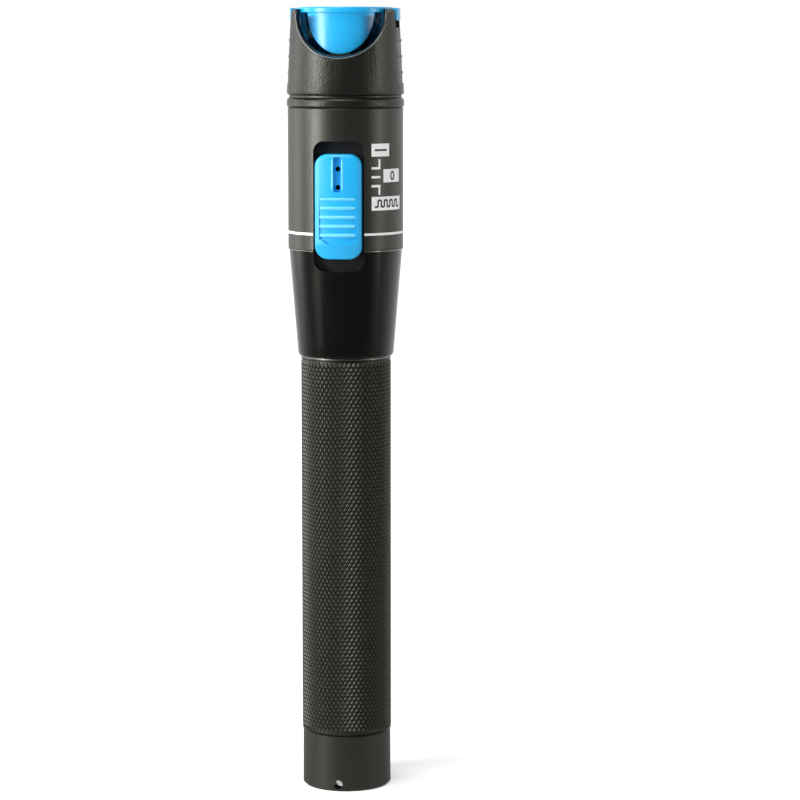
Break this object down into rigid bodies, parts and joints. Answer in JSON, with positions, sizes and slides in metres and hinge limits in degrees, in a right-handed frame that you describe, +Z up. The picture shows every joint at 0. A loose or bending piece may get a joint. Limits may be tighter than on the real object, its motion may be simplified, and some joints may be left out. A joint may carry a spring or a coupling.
{
  "type": "visual fault locator",
  "caption": "Pen-shaped visual fault locator for optical fibre: knurled grip, three-position thumb slider and a flip lid over the ferrule port.",
  "frame": {"origin": "centre of the tail cap's end face, on the pen's axis", "axes": "+Z up along the pen towards the fibre port; the thumb slider faces -Y; +X to the right seen from the slider's side"},
  "size_m": [0.026, 0.027, 0.1752],
  "materials": {
    "knurled_black": "black anodised, fine diamond knurl",
    "cap_black": "black anodised, satin",
    "cone_black": "black anodised, polished",
    "barrel_black": "matte black paint with white printed marks",
    "head_black": "black plastic, fine spark-eroded texture",
    "chassis_black": "black plastic",
    "blue_plastic": "blue plastic, satin gloss",
    "nickel": "nickel plate",
    "brass": "turned brass",
    "ceramic": "polished zirconia",
    "steel": "bright steel",
    "seal_rubber": "black rubber",
    "pad_rubber": "soft grey silicone",
    "board_green": "green solder mask",
    "chip_black": "black epoxy",
    "cell_jacket": "printed cell jacket",
    "lens_glass": "coated glass",
    "led_red": "red tinted resin"
  },
  "bodies": {
    "body": {"tail_seal_ring": "seal_rubber", "grip_tube": "knurled_black", "battery_lower": "cell_jacket", "battery_upper": "cell_jacket", "cone_sleeve": "cone_black", "barrel_shell": "barrel_black", "inner_chassis": "chassis_black", "positive_contact": "nickel", "ground_clip": "nickel", "circuit_board": "board_green", "board_screws": "steel", "driver_chip": "chip_black", "board_components": "chip_black", "switch_case": "steel", "indicator_led": "led_red", "laser_holder": "brass", "laser_diode": "nickel", "focusing_lens": "lens_glass", "port_body": "nickel", "ferrule_stop": "brass", "alignment_sleeve": "ceramic", "port_nut": "nickel", "neck_ring": "head_black", "head_screws": "steel", "head_cover": "head_black", "lid_hinge_pin": "steel"},
    "slider": {"thumb_slider": "blue_plastic", "switch_lever": "chassis_black"},
    "lid": {"dust_lid": "blue_plastic", "lid_seal_pad": "pad_rubber"},
    "tail_carrier": {"spring_plate": "nickel", "battery_spring": "steel"},
    "tail_cap": {"tail_cap": "cap_black"}
  },
  "joints": [
    {"name": "switch_slide", "type": "slide", "parent": "body", "child": "slider", "axis": [0, 0, 1], "range_m": [-0.002, 0.002]},
    {"name": "lid_hinge", "type": "hinge", "parent": "body", "child": "lid", "pos_m": [0, 0.0099, 0.1723], "axis": [-1, 0, 0], "range_deg": [0, 110]},
    {"name": "tail_slide", "type": "slide", "parent": "body", "child": "tail_carrier", "axis": [0, 0, -1], "range_m": [0, 0.007]},
    {"name": "tail_turn", "type": "hinge", "parent": "tail_carrier", "child": "tail_cap", "pos_m": [0, 0, 0.006], "axis": [0, 0, -1], "range_deg": [0, 2520]}
  ],
  "couplings": [
    {"joint": "tail_slide", "follows": "tail_turn", "m_per_rad": 0.00015915}
  ]
}
